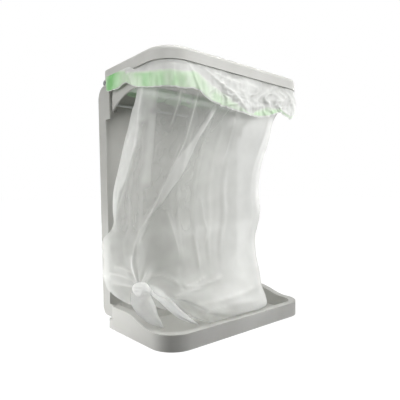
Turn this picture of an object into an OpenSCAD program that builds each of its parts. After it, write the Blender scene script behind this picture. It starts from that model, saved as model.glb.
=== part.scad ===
// Free-standing holder for a plastic waste bag.
// A back panel stands in a base tray and carries a hoop at the top. The bag's mouth is
// folded over the hoop, and a hinged cover ring drops over the fold and holds it.
// Millimetres. +Z is up, the open front faces -Y, and the origin is at the middle of the
// footprint on the surface that the tray stands on.

/* [Overall] */
// Height to the top of the closed cover ring
overall_h = 500; // [420:1:600]
// Depth from the front of the tray to the back of the panel
overall_d = 225; // [210:1:260]
// Width of the cover ring and of the top of the panel
cover_w = 369; // [320:1:440]

/* [Cover ring] */
// Height of the ring's skirt
cover_h = 24; // [20:0.5:32]
// Radius of the two front corners in plan
cover_corner_r = 48; // [36:1:60]
// Radius of the rounded upper edge
cover_edge_r = 9; // [6:0.5:12]
// Radius of the two back corners in plan
cover_rear_r = 4; // [3:0.5:8]
// Wall thickness of the ring
cover_wall = 2.5; // [1.5:0.1:3.5]
// Width of the flat top between the outer edge and the mouth
cover_land = 22; // [16:0.5:30]
// How far the ring's front stands behind the tray's front
cover_setback = 1.5; // [0:0.5:8]

/* [Bag frame] */
// Free space between the hoop and the cover for the folded film
frame_gap = 3.5; // [3:0.1:6]
// Wall thickness of the hoop
frame_wall = 2.5; // [1.5:0.1:4]
// Depth of the hoop's band at the front and sides
frame_h = 49.5; // [36:0.5:60]
// Depth of the hoop's bar along the back
frame_rear_h = 14; // [11:0.5:24]
// How far the gussets reach below the hoop at the back
gusset_drop = 29; // [15:1:40]
// Length of the gussets along the hoop's sides
gusset_run = 86; // [50:1:100]

/* [Back panel] */
// Gap between the cover's skirt and the panel's top
panel_gap = 8; // [7:0.5:12]
// Thickness of the panel's rear wall
panel_wall = 2.5; // [1.5:0.1:4]
// Thickness of the two side flanges
flange_t = 3; // [2:0.1:4]
// Depth of the side flanges at mid height
flange_depth = 27.5; // [20:0.5:34]
// Depth of the ears at the top of the flanges
ear_depth = 43.5; // [40:0.5:50]
// Height of the ears
ear_h = 66; // [50:1:90]
// Height of the deeper toes at the foot of the flanges
toe_h = 24; // [20:1:50]
// Radius of the panel's upper back edge
panel_top_r = 25; // [10:1:28]
// Radius of the panel's lower back edge
panel_bottom_r = 15; // [6:1:20]
// How much each flange leans in from top to foot
panel_taper = 8; // [0:0.5:14]

/* [Wall holes] */
// Radius of the two screw holes in the panel's rear wall
wall_hole_r = 2.2; // [1.6:0.1:3]
// Wall of the boss round each screw hole
wall_boss_t = 2.4; // [1.5:0.1:4]
// How far each boss stands forward of the rear wall
wall_boss_h = 6; // [2:0.5:8]
// Distance of each screw hole from the panel's side
wall_hole_inset = 36; // [20:0.5:100]
// Height of the screw holes below the panel's top
wall_hole_drop = 40; // [36:1:120]

/* [Cover hinge] */
// Height of the hinge axis above the panel's top
hinge_rise = 4; // [3:0.5:6]
// Distance of the hinge axis in front of the panel's back
hinge_depth = 28.5; // [26:0.5:32]
// Distance of the hinge axis in front of the cover's back edge
hinge_inset = 2; // [0:0.5:2]
// Radius of the hinge pins
pin_r = 2.5; // [1.5:0.1:3.5]
// Radius of the hinge knuckles
knuckle_r = 7; // [5.5:0.1:7.5]
// Width of each panel lug that holds a pin
lug_w = 4.2; // [3:0.1:6]
// Width of each frame arm on the pin
arm_w = 3.7; // [3:0.1:6]
// Radius of the pin heads
pin_head_r = 4; // [3.6:0.1:6]
// Thickness of the pin heads
pin_head_h = 1.4; // [1:0.1:3]

/* [Base tray] */
// How much narrower the tray is than the cover ring
tray_narrower = 4.5; // [0:0.5:10]
// Depth of the step behind the cheeks that the panel's foot stands on
tray_step_d = 15; // [13:0.5:20]
// Radius of the tray's two front corners
tray_corner_r = 46.5; // [36:0.5:58]
// Radius of the tray's two back corners
tray_rear_r = 6; // [3:0.5:10]
// Height of the rim at the front
tray_front_h = 28; // [22:1:36]
// Height of the cheeks at the back
tray_cheek_h = 44; // [38:1:60]
// Height of the step that the panel stands on
tray_step_h = 18; // [12:0.5:22]
// Width of the rim
tray_rim = 15; // [10:0.5:22]
// Wall thickness of the tray
tray_wall = 2.5; // [1.5:0.1:3.5]
// Thickness of the tray's floor
tray_floor = 3; // [2:0.1:4.5]
// Height of the raised front half of the floor above the back half
floor_step = 2; // [1:0.1:4]
// Length of the slope between the front rim and the cheeks
slope_run = 80; // [50:1:110]
// Length of the level top of each cheek
cheek_run = 53; // [40:1:70]

/* [Cross rod] */
// Radius of the rod between the flanges
rod_r = 2.5; // [1.5:0.1:4]
// Height of the rod below the panel's top
rod_drop = 31; // [28:1:60]
// Distance of the rod in front of the panel's back
rod_inset = 15; // [10:0.5:20]
// Length of the rod that sits in each flange socket
rod_seat = 5; // [3:0.5:8]

/* [Tray screws] */
// Radius of the screw shanks
screw_r = 1.8; // [1.4:0.1:2.4]
// Length of the screws below the head
screw_len = 30; // [24:0.5:36]
// Radius of the screw heads
screw_head_r = 3.6; // [3.4:0.1:4.5]
// Height of the screw heads
screw_head_h = 2.6; // [2:0.1:3.5]
// Distance of each screw from the panel's side
screw_inset = 16; // [13:0.5:30]
// Radius of the bosses that the screws pass through and bite into
boss_r = 5.5; // [5:0.1:7]

/* [Bag] */
// Thickness that stands for the film and its air
film = 1.2; // [0.8:0.1:1.4]
// Height of the cuff that hangs outside the hoop
cuff_h = 53.5; // [40:0.5:60]
// How much lower the cuff hangs along the right of the front
cuff_sag = 30; // [0:1:36]
// Height of the short cuff along the hoop's back
rear_cuff_h = 7; // [4:0.5:9]
// Height of the green draw tape in the cuff's hem
tape_h = 26; // [16:1:32]
// How far the knot draws up the bag's lower left corner
knot_lift = 42; // [0:1:50]
// Width of the tie strip
strip_w = 24; // [14:1:30]
// Thickness of the tie strip
strip_t = 2.4; // [1.6:0.1:4]
// Radius of the strip's knot
knot_r = 12; // [8:0.5:14]

/* [Fits] */
// Radial clearance of the pins in what turns on them
run_clear = 0.05; // [0.02:0.01:0.1]
// Radial clearance of pins, rod and screws in what holds them
hold_clear = 0.02; // [0.01:0.01:0.05]
// Side clearance between hinge leaves, and between film and plastic
side_clear = 0.3; // [0.2:0.05:0.5]
// Gap between the ears and the hoop's gussets
ear_gap = 1; // [0.5:0.1:2]
// Gap between the edges of the panel's foot and the tray
foot_gap = 2; // [0.5:0.1:2.5]

/* [Hidden] */
$fn = 72;
slack = 1;
far = 3 * overall_h;

shell_grey = "#C9C9C5";
rod_grey = "#B9BBBC";
screw_grey = "#8E9092";
film_white = "#E6E8E4";
tape_green = "#B5D9AE";

// Planes shared by several pieces
rear_y = overall_d / 2;
tray_front_y = -overall_d / 2;
cover_front_y = tray_front_y + cover_setback;
hinge_y = rear_y - hinge_depth;
cover_rear_y = hinge_y + hinge_inset;
cover_bottom = overall_h - cover_h;
panel_top = cover_bottom - panel_gap;
hinge_z = panel_top + hinge_rise;
panel_bottom = tray_step_h + foot_gap;
half_w = cover_w / 2;
ear_y = rear_y - ear_depth;
flange_y = rear_y - flange_depth;

// Hoop: outer half width, front, back, corner radius, rim and lower edge
hoop_x = half_w - cover_wall - frame_gap;
hoop_front = cover_front_y + cover_wall + frame_gap;
hoop_rear = ear_y - ear_gap;
hoop_corner = cover_corner_r - cover_wall - frame_gap;
hoop_rear_r = 4;
rear_bar_x = hoop_x - 5 * hoop_rear_r;

// The rim stands as high as the folded film leaves room under the cover's rounded edge
inner_edge_r = cover_edge_r - cover_wall;
film_room = min(frame_gap - film - side_clear, inner_edge_r);
edge_fall = inner_edge_r - sqrt(pow(inner_edge_r, 2) - pow(inner_edge_r - film_room, 2));
hoop_top = overall_h - cover_wall - edge_fall - film - 3 * side_clear;
hoop_bottom = hoop_top - frame_h;

// Hinge stack, from the outside in
lug_x = half_w - cover_wall - side_clear;
arm_x = lug_x - lug_w - side_clear;
pin_tip_x = arm_x - arm_w - slack;

// Flange lean and the panel's half width at a height
lean = atan(panel_taper / (panel_top - panel_bottom));
function panel_x(z) = half_w - (panel_top - z) * tan(lean);

rod_y = rear_y - rod_inset;
rod_z = panel_top - rod_drop;
rod_boss_r = rod_r + 2.5;
rod_x = panel_x(rod_z) - flange_t - slack;
wall_hole_x = half_w - wall_hole_inset;
wall_hole_z = panel_top - wall_hole_drop;

tray_w = cover_w - tray_narrower;
cheek_y = ear_y - foot_gap;
tray_rear_y = cheek_y + tray_step_d;
well_front_y = tray_front_y + tray_rim;
well_rear_y = cheek_y - tray_wall * 2;
well_x = tray_w / 2 - tray_rim;
well_mid_y = (well_front_y + well_rear_y) / 2;
well_half_d = (well_rear_y - well_front_y) / 2;
floor_edge_y = well_mid_y + well_half_d * 0.19;
screw_x = panel_x(panel_bottom) - screw_inset;
screw_y = (ear_y + tray_rear_y) / 2;
sink_h = screw_head_h + 1;

// Plan of a plate with two round front corners and two back corners
module plan(w, front, rear, front_r, rear_r) {
    for (s = [-1, 1]) {
        translate([s * (w / 2 - front_r), front + front_r]) circle(front_r);
        translate([s * (w / 2 - rear_r), rear - rear_r]) circle(rear_r);
    }
    translate([-w / 2 + front_r, front]) square([w - 2 * front_r, front_r + slack]);
    translate([-w / 2, front + front_r]) square([w, rear - front - front_r - rear_r]);
    translate([-w / 2 + rear_r, rear - rear_r - slack]) square([w - 2 * rear_r, rear_r + slack]);
}

// Solid block on that plan with a rounded upper edge at the front, sides and back
module soft_block(w, front, rear, front_r, rear_r, low, top, edge) {
    intersection() {
        union() {
            translate([0, 0, low]) linear_extrude(top - edge - low) plan(w, front, rear, front_r, rear_r);
            translate([0, 0, low]) linear_extrude(top - low)
                plan(w - 2 * edge, front + edge, rear, front_r - edge, rear_r);
            for (s = [-1, 1]) {
                translate([s * (w / 2 - edge), front + front_r, top - edge])
                    rotate([-90, 0, 0]) cylinder(r = edge, h = rear - front - front_r);
                translate([s * (w / 2 - front_r), front + front_r, top - edge])
                    rotate([0, 0, s > 0 ? 270 : 180]) rotate_extrude(angle = 90)
                        translate([front_r - edge, 0]) circle(edge);
            }
            translate([-w / 2 + front_r, front + edge, top - edge])
                rotate([0, 90, 0]) cylinder(r = edge, h = w - 2 * front_r);
        }
        along_x(w + 2 * slack) {
            translate([front - slack, low]) square([rear - front - edge + slack, top - low]);
            translate([front - slack, low]) square([rear - front + slack, top - edge - low]);
            translate([rear - edge, top - edge]) circle(edge);
        }
        translate([0, 0, low]) linear_extrude(top - low) plan(w, front, rear, front_r, rear_r);
    }
}

// Extrude a side view, drawn as (y, z), across the width and centre it
module along_x(w) {
    translate([-w / 2, 0, 0]) rotate([90, 0, 90]) linear_extrude(w) children();
}

// Cylinder along X about (y, z) from x1 to x2
module x_rod(r, x1, x2, y, z) {
    translate([min(x1, x2), y, z]) rotate([0, 90, 0]) cylinder(r = r, h = abs(x2 - x1));
}

// The same piece on both sides
module both_sides() {
    children();
    mirror([1, 0, 0]) children();
}

// Side view of the panel with its ears, toes and rounded back edges
module panel_side() {
    difference() {
        union() {
            translate([flange_y, panel_bottom]) square([flange_depth, panel_top - panel_bottom]);
            translate([ear_y, panel_top - ear_h]) square([flange_depth, ear_h]);
            translate([ear_y, panel_bottom]) square([flange_depth, toe_h]);
        }
        back_corner(rear_y, panel_top, panel_top_r, 1);
        back_corner(rear_y, panel_bottom, panel_bottom_r, -1);
    }
}

// Side view of the space between the flanges, open to the front and above the knuckles
module panel_hollow() {
    back = rear_y - panel_wall;
    low = panel_bottom + panel_wall;
    top = panel_top - panel_wall;
    roof_y = hinge_y + knuckle_r + 2;
    difference() {
        translate([ear_y - slack, low]) square([back - ear_y + slack, top - low]);
        back_corner(back, top, panel_top_r - panel_wall, 1);
        back_corner(back, low, panel_bottom_r - panel_wall, -1);
    }
    translate([ear_y - slack, low]) square([roof_y - ear_y + slack, panel_top - low + slack]);
}

// What a radius takes off a back corner at (y, z); side is 1 at the top, -1 at the foot
module back_corner(y, z, r, side) {
    difference() {
        translate([y - r, side > 0 ? z - r : z - slack]) square(r + slack);
        translate([y - r, z - side * r]) circle(r);
    }
}

// Front view of the panel, narrower at the foot, drawn in by an inset on each side
module panel_face(inset) {
    low = panel_bottom - slack;
    high = panel_top + 2 * slack;
    translate([0, far / 2, 0]) rotate([90, 0, 0]) linear_extrude(far)
        polygon([
            [inset - panel_x(high), high], [panel_x(high) - inset, high],
            [panel_x(low) - inset, low], [inset - panel_x(low), low]
        ]);
}

module back_panel() {
    wide = cover_w + 4 * slack;
    color(shell_grey) difference() {
        union() {
            difference() {
                intersection() {
                    along_x(wide) panel_side();
                    panel_face(0);
                }
                intersection() {
                    along_x(wide) panel_hollow();
                    panel_face(flange_t);
                }
                // Round bites where the cover's knuckles turn
                both_sides()
                    x_rod(knuckle_r + 2 * side_clear, lug_x - lug_w, wide / 2, hinge_y, hinge_z);
            }
            both_sides() {
                hinge_lug();
                x_rod(rod_boss_r, rod_x - rod_seat, rod_x + slack * 1.5, rod_y, rod_z);
                wall_boss(wall_hole_r + wall_boss_t, panel_wall / 2);
                screw_post();
            }
        }
        both_sides() {
            x_rod(pin_r + hold_clear, pin_tip_x, half_w + slack, hinge_y, hinge_z);
            x_rod(rod_r + hold_clear, rod_x - rod_seat - slack, rod_x + hold_clear, rod_y, rod_z);
            translate([0, -slack, 0]) wall_boss(wall_hole_r, panel_wall + 2 * slack);
            translate([screw_x, screw_y, 0])
                cylinder(r = screw_r + hold_clear, h = sink_h + screw_len + slack);
        }
    }
}

// Tongue inside each ear that holds a hinge pin, with a root that joins it to the flange
module hinge_lug() {
    foot_z = panel_top - ear_h / 2;
    root_z = foot_z + slack;
    root_h = hinge_z - knuckle_r - 3 * side_clear - root_z;
    root_w = panel_x(root_z) - flange_t / 2 - lug_x + lug_w / 2;
    x_rod(knuckle_r, lug_x - lug_w, lug_x, hinge_y, hinge_z);
    translate([lug_x - lug_w, hinge_y - knuckle_r, foot_z])
        cube([lug_w, 2 * knuckle_r, hinge_z - foot_z]);
    translate([lug_x - lug_w / 2, hinge_y - knuckle_r + slack, root_z])
        cube([root_w, 2 * knuckle_r - 2 * slack, root_h]);
}

// Cylinder of a wall screw's boss, from its front end to a depth behind the wall's face
module wall_boss(r, depth) {
    translate([wall_hole_x, rear_y - panel_wall - wall_boss_h, wall_hole_z])
        rotate([-90, 0, 0]) cylinder(r = r, h = wall_boss_h + depth);
}

// Post that stands on the tray's step and takes the tray screw, tied to the flange
module screw_post() {
    post_top = panel_bottom + toe_h - slack;
    tie_z = panel_bottom + panel_wall / 2;
    translate([screw_x, screw_y, tray_step_h]) cylinder(r = boss_r, h = post_top - tray_step_h);
    translate([screw_x, screw_y - panel_wall / 2, tie_z])
        cube([panel_x(panel_bottom) - flange_t / 2 - screw_x, panel_wall, post_top - tie_z - slack]);
}

// Side view of everything below the tray's upper surface, lowered by drop
module tray_side(drop = 0) {
    slope_steps = 16;
    slope_end = cheek_y - cheek_run;
    slope_start = slope_end - slope_run;
    rise = tray_cheek_h - tray_front_h;
    polygon(concat(
        [[tray_front_y - slack, -slack], [tray_front_y - slack, tray_front_h - drop]],
        [for (i = [0 : slope_steps]) let (t = i / slope_steps)
            [slope_start + slope_run * t, tray_front_h - drop + rise * (1 - cos(180 * t)) / 2]],
        [
            [cheek_y - drop, tray_cheek_h - drop], [cheek_y - drop, tray_step_h - drop],
            [tray_rear_y + slack, tray_step_h - drop], [tray_rear_y + slack, -slack]
        ]
    ));
}

// Plan of the tray, drawn in by an inset
module tray_plan(inset = 0) {
    plan(tray_w - 2 * inset, tray_front_y + inset, tray_rear_y - inset,
        tray_corner_r - inset, max(tray_rear_r - inset, slack));
}

// Plan of the well inside the rim, grown by a margin
module well_plan(grow = 0) {
    plan(2 * (well_x + grow), well_front_y - grow, well_rear_y + grow,
        tray_corner_r - tray_rim + grow, tray_rear_r + grow);
}

module base_tray() {
    color(shell_grey) difference() {
        union() {
            intersection() {
                linear_extrude(tray_cheek_h) tray_plan();
                along_x(tray_w + slack) tray_side();
                union() {
                    difference() {
                        linear_extrude(tray_cheek_h) tray_plan();
                        translate([0, 0, -slack]) linear_extrude(tray_cheek_h + 2 * slack) well_plan();
                        rim_hollow();
                    }
                    linear_extrude(tray_floor) well_plan(tray_wall);
                    intersection() {
                        linear_extrude(tray_floor + floor_step) well_plan(tray_wall);
                        translate([-tray_w / 2, tray_front_y, 0])
                            cube([tray_w, floor_edge_y - tray_front_y, tray_front_h]);
                    }
                }
            }
            both_sides() translate([screw_x, screw_y, 0]) cylinder(r = boss_r, h = tray_step_h);
        }
        // The back of the well stands open above the step, between the cheeks
        translate([-well_x, well_rear_y - tray_corner_r, tray_step_h])
            cube([2 * well_x, overall_d, tray_cheek_h]);
        both_sides() translate([screw_x, screw_y, -slack]) {
            cylinder(r = screw_r + hold_clear, h = tray_step_h + 2 * slack);
            cylinder(r = screw_head_r + side_clear, h = sink_h + slack);
        }
    }
}

// Space inside the rim, open underneath
module rim_hollow() {
    intersection() {
        translate([0, 0, -slack]) linear_extrude(tray_cheek_h) difference() {
            tray_plan(tray_wall);
            well_plan(tray_wall);
        }
        along_x(tray_w) tray_side(tray_wall);
    }
}

module bag_frame() {
    color(shell_grey) difference() {
        union() {
            difference() {
                translate([0, 0, hoop_bottom]) linear_extrude(frame_h) hoop_plan(0);
                translate([0, 0, hoop_bottom - slack]) linear_extrude(frame_h + 2 * slack)
                    hoop_plan(-frame_wall);
                // The back is only a bar between the corners that carry the arms
                translate([-rear_bar_x, hoop_rear - frame_wall - slack, hoop_bottom - slack])
                    cube([2 * rear_bar_x, frame_wall + 2 * slack, frame_h - frame_rear_h + slack]);
            }
            both_sides() {
                gusset();
                frame_arm();
            }
        }
        both_sides() x_rod(pin_r + hold_clear, pin_tip_x, half_w, hinge_y, hinge_z);
    }
}

// Plan of the hoop, offset outwards
module hoop_plan(offset_by) {
    plan(2 * (hoop_x + offset_by), hoop_front - offset_by, hoop_rear + offset_by,
        hoop_corner + offset_by, hoop_rear_r + offset_by);
}

// Web below the hoop's side that grows deeper towards the panel along an arc
module gusset() {
    arc_r = (pow(gusset_run, 2) + pow(gusset_drop, 2)) / (2 * gusset_drop);
    start_y = hoop_rear - gusset_run;
    translate([hoop_x - frame_wall, 0, 0]) rotate([90, 0, 90]) linear_extrude(frame_wall)
        difference() {
            translate([start_y, hoop_bottom - gusset_drop])
                square([gusset_run, gusset_drop + slack]);
            translate([start_y, hoop_bottom - arc_r]) circle(arc_r, $fn = 180);
        }
}

// Arm that carries the hoop on the hinge pin
module frame_arm() {
    root_y = hoop_rear - frame_wall;
    x_rod(knuckle_r, arm_x - arm_w, arm_x, hinge_y, hinge_z);
    translate([arm_x - arm_w, root_y, hinge_z - knuckle_r])
        cube([arm_w, hinge_y - root_y, 2 * knuckle_r]);
}

module cover_ring() {
    color(shell_grey) difference() {
        union() {
            difference() {
                soft_block(cover_w, cover_front_y, cover_rear_y, cover_corner_r, cover_rear_r,
                    cover_bottom, overall_h, cover_edge_r);
                soft_block(cover_w - 2 * cover_wall, cover_front_y + cover_wall,
                    cover_rear_y - cover_wall, cover_corner_r - cover_wall,
                    max(cover_rear_r - cover_wall, slack), cover_bottom - slack,
                    overall_h - cover_wall, inner_edge_r);
                translate([0, 0, overall_h - cover_h]) linear_extrude(cover_h + slack)
                    plan(cover_w - 2 * cover_land, cover_front_y + cover_land,
                        cover_rear_y - cover_land, cover_corner_r - cover_land, cover_land / 2);
            }
            both_sides() cover_knuckle();
        }
        both_sides() {
            x_rod(knuckle_r + 2 * side_clear, arm_x - arm_w - side_clear, half_w - cover_wall,
                hinge_y, hinge_z);
            x_rod(pin_r + run_clear, pin_tip_x, half_w + slack, hinge_y, hinge_z);
        }
    }
}

// Knuckle below the back of the ring's side wall
module cover_knuckle() {
    x_rod(knuckle_r, half_w - cover_wall, half_w, hinge_y, hinge_z);
}

module hinge_pin() {
    head_x = half_w + side_clear;
    tip = 0.8;
    color(rod_grey) {
        x_rod(pin_r, pin_tip_x, head_x + slack / 2, hinge_y, hinge_z);
        x_rod(pin_head_r, head_x, head_x + pin_head_h, hinge_y, hinge_z);
        translate([pin_tip_x - tip, hinge_y, hinge_z]) rotate([0, 90, 0])
            cylinder(r1 = pin_r - tip, r2 = pin_r, h = tip);
    }
}

module hinge_pin_left() { mirror([1, 0, 0]) hinge_pin(); }

module hinge_pin_right() { hinge_pin(); }

module cross_rod() {
    color(rod_grey) x_rod(rod_r, -rod_x, rod_x, rod_y, rod_z);
}

// Pan-head screws, driven up through the tray's step into the panel's posts
module tray_screws() {
    color(screw_grey) both_sides() translate([screw_x, screw_y, slack]) difference() {
        union() {
            cylinder(r = screw_head_r, h = screw_head_h);
            cylinder(r = screw_r, h = screw_head_h + screw_len);
        }
        for (turn = [0, 90]) rotate([0, 0, turn])
            translate([-screw_head_r * 0.6, -0.4, -slack]) cube([screw_head_r * 1.2, 0.8, slack * 2]);
    }
}

// Bag: closed rings of points, lofted from the underside over the hoop's rim and back inside
corner_steps = 8;
edge_steps = 6;

// Points of one corner arc
function arc_points(cx, cy, r, from) =
    [for (i = [0 : corner_steps]) let (a = from + 90 * i / corner_steps) [cx + r * cos(a), cy + r * sin(a)]];

// Points strictly between two ends
function between(p, q) = [for (i = [1 : edge_steps - 1]) p + (q - p) * i / edge_steps];

// Rounded outline of a bag ring, anticlockwise from the front left. r holds the radii of
// the front left, front right, back right and back left corners, and the left side leans
// in by lean towards the front.
function outline(xl, xr, yf, yr, r, lean = 0) =
    let (
        fl = arc_points(xl + lean + r[0], yf + r[0], r[0], 180),
        fr = arc_points(xr - r[1], yf + r[1], r[1], 270),
        br = arc_points(xr - r[2], yr - r[2], r[2], 0),
        bl = arc_points(xl + r[3], yr - r[3], r[3], 90)
    )
    concat(
        fl, between(fl[corner_steps], fr[0]),
        fr, between(fr[corner_steps], br[0]),
        br, between(br[corner_steps], bl[0]),
        bl, between(bl[corner_steps], fl[0])
    );

function at_height(points, z) = [for (p = points) [p[0], p[1], z]];

// Ring that follows the hoop's wall at an offset from its outer face
function hoop_outline(by) =
    let (front_r = hoop_corner + by, rear_r = max(hoop_rear_r + by, slack))
    outline(-hoop_x - by, hoop_x + by, hoop_front - by, hoop_rear + by, [front_r, front_r, rear_r, rear_r]);

function hoop_ring(by, z) = at_height(hoop_outline(by), z);

// S-curve from 0 to 1
function ease(t) = let (c = min(max(t, 0), 1)) c * c * (3 - 2 * c);

// Height of the cuff's lower edge: long on the left, lower on the right of the front,
// rising again along the right side, and short along the back
function hem_z(p) =
    let (
        rightward = ease((p[0] / hoop_x + 0.7) / 0.6),
        forward = ease((hoop_rear - gusset_run / 3 - p[1]) / (gusset_run * 1.2))
    )
    p[1] > hoop_rear - 3 * hoop_rear_r
        ? hoop_top - rear_cuff_h
        : hoop_top - cuff_h - cuff_sag * rightward * forward;

function hem_ring(by) = at_hem(hoop_outline(by), 0);

// Points lifted to a rise above the cuff's lower edge
function at_hem(points, rise) = [for (p = points) [p[0], p[1], hem_z(p) + rise]];

// Ring of the hanging body, drawn in by shrink
function body_ring(b, shrink) =
    [for (p = at_height(outline(
        shrink - b[1] * well_x, b[3] * well_x - shrink,
        well_mid_y - b[4] * well_half_d + shrink, well_mid_y + b[5] * well_half_d - shrink,
        b[6] * hoop_corner - [shrink, shrink, shrink, shrink], b[2] * well_x), b[0])) drawn_up(p)];

// Place of a point of the bag after the knot has drawn its lower left corner up
function drawn_up(p) =
    let (
        leftward = ease((-p[0] / well_x - 0.09) / 0.84),
        forward = 0.15 + 0.85 * ease((0.54 - (p[1] - well_mid_y) / well_half_d) / 0.75),
        low = ease(1 - p[2] / (2.5 * tray_cheek_h))
    )
    p + [0, 0, knot_lift * leftward * forward * low];

// Height at a share of the way from the cheeks to the hoop
function level(share) = tray_cheek_h + (hoop_bottom - tray_cheek_h) * share;

// The sagging body from the floor up. It bulges to the left in front of the panel's flange
// low down, leans into the panel at mid height and lies over the tray's front rim. Each row
// has a height, the reach to the left, the lean of the left side and the reach to the right
// in half widths of the well, the reach to the front and back in half depths of the well,
// and the corners' radii in radii of the hoop's corner.
floor_top = tray_floor + floor_step;
body = [
    [floor_top + 2, 0.18, 0, 0.24, 0.34, 0.34, [0.4, 0.4, 0.4, 0.4]],
    [floor_top + 2, 0.54, 0, 0.36, 0.62, 0.62, [0.67, 0.67, 0.67, 0.67]],
    [floor_top + 5, 0.65, 0, 0.48, 0.88, 0.8, [0.71, 0.71, 0.71, 0.71]],
    [tray_front_h, 0.73, 0, 0.56, 0.96, 0.87, [0.76, 0.81, 0.76, 0.71]],
    [tray_front_h + 5, 0.78, 0, 0.59, 1.08, 0.95, [0.81, 0.86, 0.81, 0.62]],
    [tray_cheek_h + 6, 0.99, 0.06, 0.59, 1.07, 1.11, [0.86, 0.95, 0.86, 0.48]],
    [level(0.065), 1.09, 0.09, 0.57, 1.01, 1.21, [0.9, 1, 0.9, 0.29]],
    [level(0.12), 1.12, 0.1, 0.58, 0.92, 1.23, [0.95, 1, 0.95, 0.24]],
    [level(0.23), 1.12, 0.09, 0.6, 0.76, 1.23, [1, 1.07, 1.07, 0.21]],
    [level(0.325), 1.12, 0.07, 0.66, 0.66, 1.24, [1.05, 1.07, 1.07, 0.21]],
    [level(0.39), 1.06, 0.01, 0.7, 0.61, 1.36, [1.07, 1.07, 1.07, 0.64]],
    [level(0.455), 1.06, 0, 0.71, 0.59, 1.38, [1.07, 1.07, 1.07, 0.67]],
    [level(0.55), 1.05, 0, 0.73, 0.59, 1.36, [1.07, 1.07, 1.07, 0.67]],
    [level(0.64), 1.02, 0, 0.76, 0.63, 1.31, [1.07, 1.07, 1.07, 0.67]],
    [level(0.73), 1, 0, 0.8, 0.69, 1.23, [1.07, 1.07, 1.07, 0.81]],
    [level(0.84), 0.99, 0, 0.88, 0.82, 1.06, [1.07, 1.14, 1.07, 1.1]],
    [level(0.915), 1, 0, 0.94, 0.91, 0.99, [1.07, 1.19, 1, 1.31]],
    [hoop_bottom - gusset_drop / 2, 1.02, 0, 0.99, 0.99, 0.97, [1, 1.14, 0.86, 1.76]]
];

// Skin between rings of equal length, closed at both ends by a fan
module loft(rings) {
    n = len(rings[0]);
    m = len(rings);
    points = concat([for (r = rings) each r], [centre(rings[0]), centre(rings[m - 1])]);
    polyhedron(points, concat(
        [for (k = [0 : m - 2], i = [0 : n - 1]) let (j = (i + 1) % n)
            [k * n + i, (k + 1) * n + j, k * n + j]],
        [for (k = [0 : m - 2], i = [0 : n - 1]) let (j = (i + 1) % n)
            [k * n + i, (k + 1) * n + i, (k + 1) * n + j]],
        [for (i = [0 : n - 1]) [m * n, i, (i + 1) % n]],
        [for (i = [0 : n - 1]) [m * n + 1, (m - 1) * n + (i + 1) % n, (m - 1) * n + i]]
    ));
}

function centre(ring) = [for (k = [0 : 2]) sum([for (p = ring) p[k]]) / len(ring)];
function sum(values, i = 0) = i < len(values) ? values[i] + sum(values, i + 1) : 0;

module bag_liner() {
    inside = -frame_wall - side_clear;
    outside = side_clear;
    rim = hoop_top + side_clear;
    last = len(body) - 1;
    color(film_white) loft(concat(
        [for (b = body) body_ring(b, 0)],
        [hoop_ring(inside, hoop_bottom), hoop_ring(inside, rim), hoop_ring(outside, rim)],
        [hem_ring(outside), hem_ring(outside + film)],
        [hoop_ring(outside + film, rim + film), hoop_ring(inside - film, rim + film)],
        [hoop_ring(inside - film, hoop_bottom)],
        [for (k = [last : -1 : 0]) [for (p = body_ring(body[k], film)) p + [0, 0, k < 2 ? film : 0]]]
    ));
}

// Solid band between an inner and an outer run of points, from the cuff's lower edge up
module band(inner, outer, high) {
    n = len(inner);
    points = concat(at_hem(inner, 0), at_hem(outer, 0), at_hem(outer, high), at_hem(inner, high));
    polyhedron(points, concat(
        [for (k = [0 : 3], i = [0 : n - 2]) let (a = k * n + i, b = ((k + 1) % 4) * n + i) [a, a + 1, b + 1]],
        [for (k = [0 : 3], i = [0 : n - 2]) let (a = k * n + i, b = ((k + 1) % 4) * n + i) [a, b + 1, b]],
        [[0, n, 3 * n], [n, 2 * n, 3 * n]],
        [[n - 1, 4 * n - 1, 2 * n - 1], [2 * n - 1, 4 * n - 1, 3 * n - 1]]
    ));
}

// Open run of the hoop's outline along the left side, the front and the right side
function hoop_run(by) =
    let (
        r = hoop_corner + by,
        left = arc_points(-hoop_x + hoop_corner, hoop_front + hoop_corner, r, 180),
        right = arc_points(hoop_x - hoop_corner, hoop_front + hoop_corner, r, 270),
        end_y = hoop_rear - gusset_run / 3,
        start = [-hoop_x - by, end_y],
        end = [hoop_x + by, end_y]
    )
    concat(
        [start], left, between(left[corner_steps], right[0]),
        right, between(right[corner_steps], end), [end]
    );

module draw_tape() {
    near = 2 * side_clear + film;
    color(tape_green) band(hoop_run(near), hoop_run(near + film), tape_h);
}

// Place near the tray: half widths and half depths of the well from its middle, and a
// height in heights of the cheeks
function spot(x, y, z) = [x * well_x, well_mid_y + y * well_half_d, z * tray_cheek_h];

// Tie strip: two flat tails that meet in a knot at the bag's lower left corner.
// Each station has a place, a width and a thickness, on a route chosen by hand.
strip_route = [
    [spot(-0.81, -0.16, 0.5), strip_w * 0.5, strip_t],
    [spot(-0.9, -0.15, 0.95), strip_w, strip_t],
    [spot(-0.99, -0.09, 1.5), strip_w * 0.8, strip_t],
    [spot(-1.03, -0.05, 1.85), knot_r, knot_r],
    [spot(-1.05, -0.01, 2.1), knot_r * 2, knot_r * 2],
    [spot(-1.03, -0.13, 1.95), knot_r, knot_r],
    [spot(-0.98, -0.26, 1.75), strip_w * 0.8, strip_t],
    [spot(-0.85, -0.6, 1.32), strip_w, strip_t],
    [spot(-0.75, -0.81, 1.04), strip_w, strip_t],
    [spot(-0.65, -1.02, 0.8), strip_w, strip_t]
];

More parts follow.
